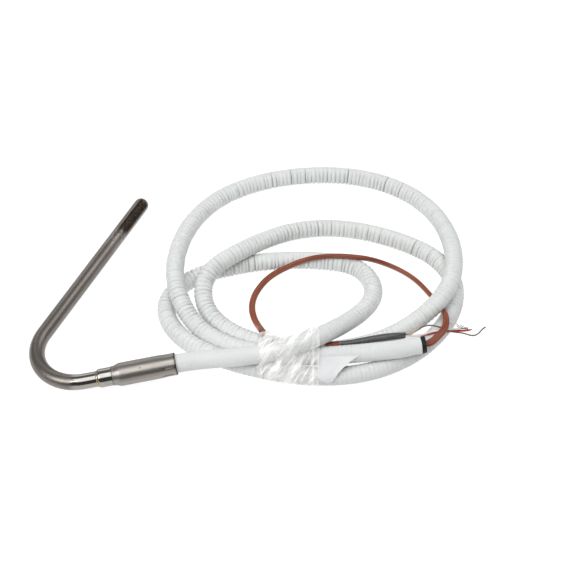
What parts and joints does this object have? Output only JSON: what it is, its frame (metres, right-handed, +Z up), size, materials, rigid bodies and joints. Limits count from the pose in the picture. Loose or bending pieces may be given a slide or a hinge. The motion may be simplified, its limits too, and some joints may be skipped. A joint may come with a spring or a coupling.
{
  "type": "bent flame sensor probe",
  "caption": "Closed-end steel sensing probe bent into a J and crimped to a coiled, film-wrapped length of white jacketed flexible conduit that carries its cable to bare wire ends.",
  "frame": {"origin": "bottom centre of the rigid probe (sheath, collar and ferrule) as it lies on a flat surface", "axes": "+Z up from the surface it lies on; +Y along the probe's longest side, towards the tip; +X from the probe towards the conduit's turns"},
  "size_m": [0.2798, 0.1868, 0.0302],
  "materials": {
    "sheath_steel": "satin drawn stainless tube, heat-stained near the tip",
    "ferrule_steel": "satin stainless crimp sleeve with a dark mouth edge",
    "polished_steel": "bright turned collar",
    "braze": "thin braze fillet",
    "ceramic": "unglazed",
    "cement": "matt set cement",
    "fibre_sleeve": "braided fibre",
    "lead_metal": "plated wire",
    "copper": "bare copper",
    "jacket": "white jacket, ribbed where it bends, low gloss",
    "armour": "strip-wound steel",
    "cable_jacket": "glossy red-brown cable jacket",
    "black_plastic": "matt black",
    "shrink": "dark grey shrink sleeve",
    "red_insulation": "glossy",
    "white_insulation": "pale, slightly pink",
    "drain_metal": "tinned strands",
    "film": "clear wrinkled wrapping film",
    "paper": "blank label paper"
  },
  "bodies": {
    "root": {"sheath_tube": "sheath_steel", "sensing_element": "ceramic", "tip_packing": "cement", "element_lead_a": "lead_metal", "element_lead_b": "lead_metal", "element_lead_c": "lead_metal", "conductor_a": "copper", "conductor_b": "copper", "conductor_c": "copper", "splice_a": "copper", "splice_b": "copper", "splice_c": "copper", "lead_sleeve": "fibre_sleeve", "braze_ring": "braze", "transition_collar": "polished_steel", "ferrule": "ferrule_steel", "potting_plug": "cement", "anti_short_bush": "black_plastic", "conduit_jacket": "jacket", "conduit_armour": "armour", "sensor_cable_run": "cable_jacket", "end_bushing": "black_plastic", "sensor_cable_tail": "cable_jacket", "heat_shrink": "shrink", "wire_red": "red_insulation", "wire_white": "white_insulation", "wire_drain": "drain_metal", "film_wrap": "film", "label": "paper"}
  },
  "joints": []
}
